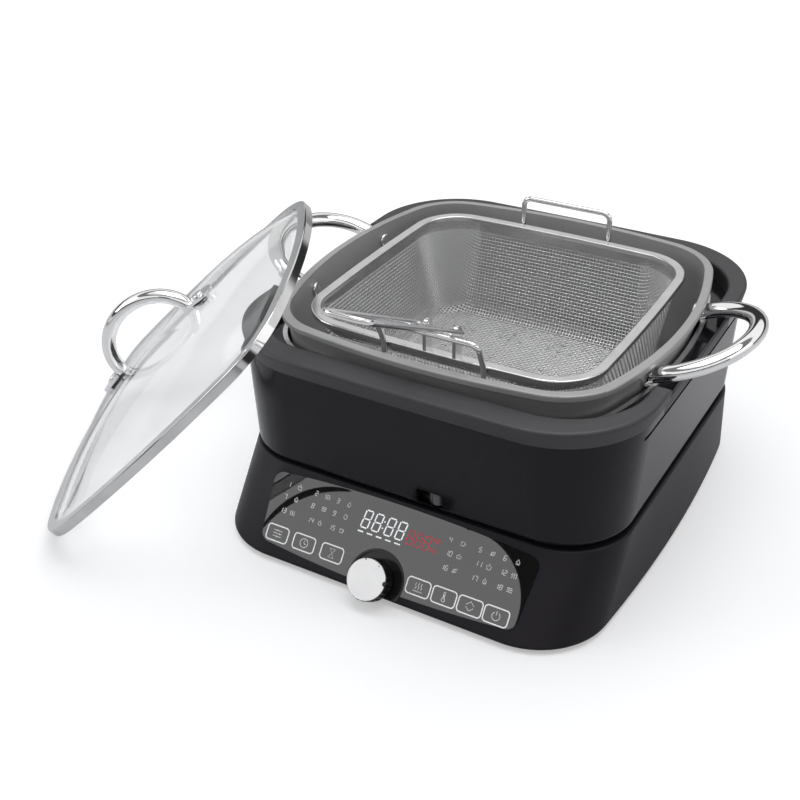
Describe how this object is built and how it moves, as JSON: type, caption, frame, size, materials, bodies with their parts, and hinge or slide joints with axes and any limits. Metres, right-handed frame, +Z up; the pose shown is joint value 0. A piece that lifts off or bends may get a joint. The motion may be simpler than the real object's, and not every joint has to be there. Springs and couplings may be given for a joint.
{
  "type": "multicooker",
  "caption": "Countertop cooker with a flared heating base, lift-off housing, deep square pot, wire basket with folding handle, steam rack and loose glass lid.",
  "frame": {"origin": "on the table under the middle of the pot, in the plane of the rubber feet", "axes": "+Z up, -Y towards the control panel, +X to the cook's right"},
  "size_m": [0.5208, 0.411, 0.24],
  "materials": {
    "base_gloss": "satin black moulded plastic",
    "housing_gloss": "polished black moulded plastic",
    "panel_gloss": "glossy black panel with printed white marks",
    "black_plastic": "fine matte black plastic",
    "grip_matte": "matte charcoal moulded plastic",
    "rubber_grip": "matte black rubber",
    "board_green": "circuit board with a lacquered face",
    "zinc_steel": "plain sheet steel and zinc-plated small parts",
    "plate_aluminium": "cast and turned aluminium",
    "dial_silver": "bright satin disc",
    "pin_brass": "nickelled brass blades",
    "pot_steel": "satin stainless steel",
    "mesh_steel": "stainless wire and woven mesh",
    "handle_chrome": "polished stainless rod",
    "lid_steel": "polished pressed stainless sheet",
    "lid_glass": "clear toughened glass"
  },
  "bodies": {
    "base": {"base_shell": "base_gloss", "bottom_cover": "black_plastic", "rubber_feet": "rubber_grip", "cover_screws": "zinc_steel", "heating_plate": "plate_aluminium", "plate_posts": "zinc_steel", "heating_element": "zinc_steel", "reflector_tray": "zinc_steel", "sensor_spring": "zinc_steel", "control_panel": "panel_gloss", "dial_ring": "panel_gloss", "control_board": "board_green", "board_screws": "zinc_steel", "display_module": "black_plastic", "touch_springs": "rubber_grip", "dial_encoder": "zinc_steel", "power_board": "board_green", "power_relay": "black_plastic", "power_coil": "black_plastic", "power_capacitor": "zinc_steel", "mains_inlet": "black_plastic", "inlet_pins": "pin_brass"},
    "sensor": {"temperature_sensor": "plate_aluminium"},
    "dial_press": {"dial_plunger": "black_plastic"},
    "dial": {"dial_shaft": "zinc_steel", "dial_body": "black_plastic", "dial_face": "dial_silver"},
    "housing": {"outer_shell": "housing_gloss", "housing_floor": "zinc_steel", "inner_liner": "zinc_steel", "front_grip": "grip_matte", "back_grip": "grip_matte", "grip_screws": "zinc_steel", "side_trims": "grip_matte"},
    "latch": {"latch_slider": "black_plastic"},
    "pot_body": {"pot": "pot_steel", "pot_handle_left": "handle_chrome", "pot_handle_right": "handle_chrome", "pot_rivets": "handle_chrome"},
    "rack": {"steam_rack": "pot_steel"},
    "basket": {"basket_mesh": "mesh_steel", "basket_rim": "mesh_steel", "basket_loop_front": "mesh_steel", "basket_loop_rear": "mesh_steel", "handle_brackets": "mesh_steel"},
    "bow": {"basket_handle": "handle_chrome"},
    "lid": {"lid_glass": "lid_glass", "lid_rim": "lid_steel", "lid_handle": "handle_chrome", "lid_washers": "rubber_grip", "lid_rivets": "handle_chrome"}
  },
  "joints": [
    {"name": "housing_lift", "type": "slide", "parent": "base", "child": "housing", "axis": [0, 0, 1], "range_m": [0, 0.12]},
    {"name": "latch_slide", "type": "slide", "parent": "housing", "child": "latch", "axis": [-1, 0, 0], "range_m": [0, 0.008]},
    {"name": "pot_lift", "type": "slide", "parent": "housing", "child": "pot_body", "axis": [0, 0, 1], "range_m": [0, 0.12]},
    {"name": "rack_lift", "type": "slide", "parent": "pot_body", "child": "rack", "axis": [0, 0, 1], "range_m": [0, 0.12]},
    {"name": "basket_lift", "type": "slide", "parent": "rack", "child": "basket", "axis": [0, 0, 1], "range_m": [0, 0.12]},
    {"name": "handle_fold", "type": "hinge", "parent": "basket", "child": "bow", "pos_m": [0.008, -0.104, 0.175], "axis": [-1, 0, 0], "range_deg": [0, 170]},
    {"name": "dial_push", "type": "slide", "parent": "base", "child": "dial_press", "axis": [0, 0.7851, -0.6194], "range_m": [0, 0.0008], "stiffness_N_per_m": 600, "springref_m": -0.002},
    {"name": "dial_turn", "type": "hinge", "parent": "dial_press", "child": "dial", "pos_m": [-0.004, -0.1765, 0.01277], "axis": [0, -0.7851, 0.6194], "continuous": true},
    {"name": "sensor_press", "type": "slide", "parent": "base", "child": "sensor", "axis": [0, 0, -1], "range_m": [0, 0.002], "stiffness_N_per_m": 300, "springref_m": -0.003},
    {"name": "lid_lift", "type": "slide", "parent": "pot_body", "child": "lid", "axis": [-0.6166, -0.3306, 0.7145], "range_m": [0, 0.08]}
  ]
}
